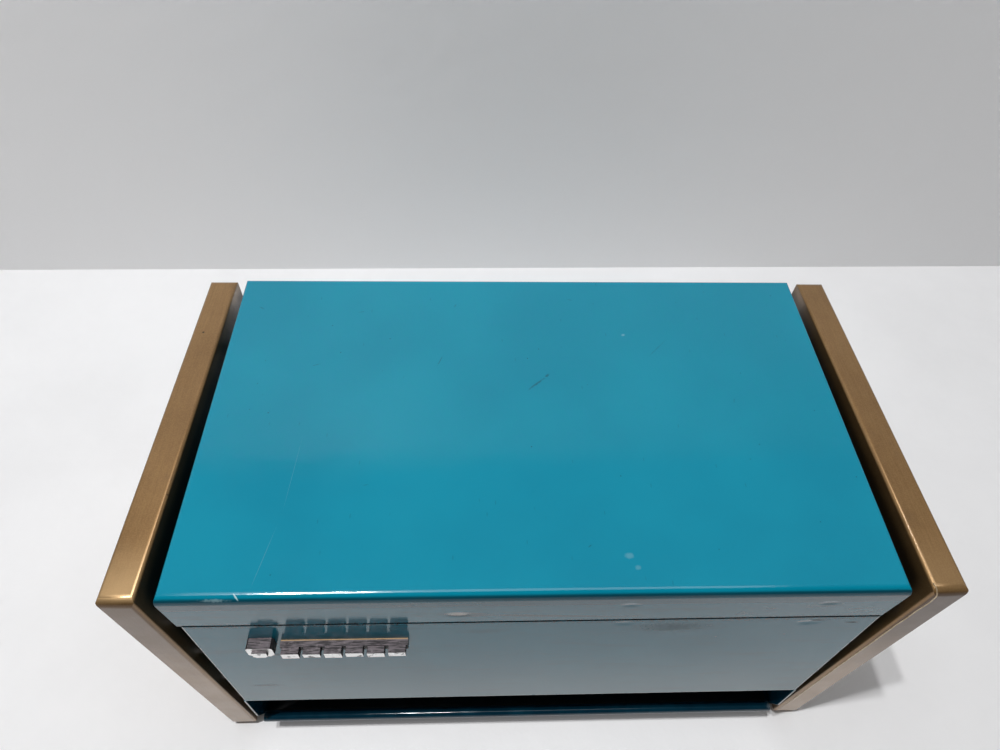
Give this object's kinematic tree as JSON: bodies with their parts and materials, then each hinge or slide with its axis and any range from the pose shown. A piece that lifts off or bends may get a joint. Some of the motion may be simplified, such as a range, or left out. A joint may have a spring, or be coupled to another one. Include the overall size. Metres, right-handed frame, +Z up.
{
  "type": "lidded steel chest",
  "caption": "Small lidded sheet-steel chest with bronze end frames, an overlay-front deep drawer under a flush lid, and an open bay over a rolled rail.",
  "frame": {"origin": "on the table, under the middle of the chest", "axes": "+X to the right along the width as seen from the front, -Y towards the front panel, +Z up"},
  "size_m": [0.411, 0.2317, 0.2362],
  "materials": {
    "teal_enamel": "high gloss with orange peel",
    "bronze_enamel": "satin metallic",
    "zinc_steel": "zinc plated",
    "badge_chrome": "cast and plated",
    "black_rubber": "matt",
    "grey_felt": "short nap",
    "magnet": "sintered"
  },
  "bodies": {
    "case": {"case_side_left": "teal_enamel", "case_side_right": "teal_enamel", "case_back": "teal_enamel", "rim_coaming": "teal_enamel", "floor_pan": "teal_enamel", "bottom_rail": "teal_enamel", "deck": "teal_enamel", "bay_mat": "black_rubber", "till_floor": "teal_enamel", "till_liner": "grey_felt", "upper_rail": "teal_enamel", "magnet_housing": "black_rubber", "magnet_core": "magnet", "end_frame_left": "bronze_enamel", "end_frame_right": "bronze_enamel", "frame_spacers": "zinc_steel", "frame_screws": "zinc_steel", "frame_nuts": "zinc_steel", "feet": "black_rubber", "hinge_leaf_case": "zinc_steel", "hinge_pin": "zinc_steel", "hinge_rivets_case": "zinc_steel", "slide_outer": "zinc_steel", "slide_screws": "zinc_steel", "lid_bumpers": "black_rubber", "lid_stop_brackets": "zinc_steel", "lid_stop_pads": "black_rubber"},
    "lid": {"lid_shell": "teal_enamel", "lid_stiffener": "teal_enamel", "hinge_leaf_lid": "zinc_steel", "hinge_rivets_lid": "zinc_steel"},
    "drawer": {"drawer_tray": "teal_enamel", "drawer_liner": "grey_felt", "drawer_dividers": "zinc_steel", "slide_inner": "zinc_steel", "tray_rivets": "zinc_steel", "front_panel": "teal_enamel", "panel_screws": "zinc_steel", "panel_bumpers": "black_rubber", "badge_bar": "badge_chrome", "badge_blocks": "badge_chrome", "badge_shield": "badge_chrome", "badge_nuts": "zinc_steel"},
    "slide_left": {"slide_mid_left": "zinc_steel"},
    "slide_right": {"slide_mid_right": "zinc_steel"}
  },
  "joints": [
    {"name": "lid_hinge", "type": "hinge", "parent": "case", "child": "lid", "pos_m": [0, 0.1064, 0.19665], "axis": [-1, 0, 0], "range_deg": [0, 106]},
    {"name": "drawer_slide", "type": "slide", "parent": "case", "child": "drawer", "axis": [0, -1, 0], "range_m": [0, 0.16]},
    {"name": "left_member_slide", "type": "slide", "parent": "case", "child": "slide_left", "axis": [0, -1, 0], "range_m": [0, 0.08]},
    {"name": "right_member_slide", "type": "slide", "parent": "case", "child": "slide_right", "axis": [0, -1, 0], "range_m": [0, 0.08]}
  ],
  "couplings": [
    {"joint": "left_member_slide", "follows": "drawer_slide", "ratio": 0.5},
    {"joint": "right_member_slide", "follows": "drawer_slide", "ratio": 0.5}
  ]
}
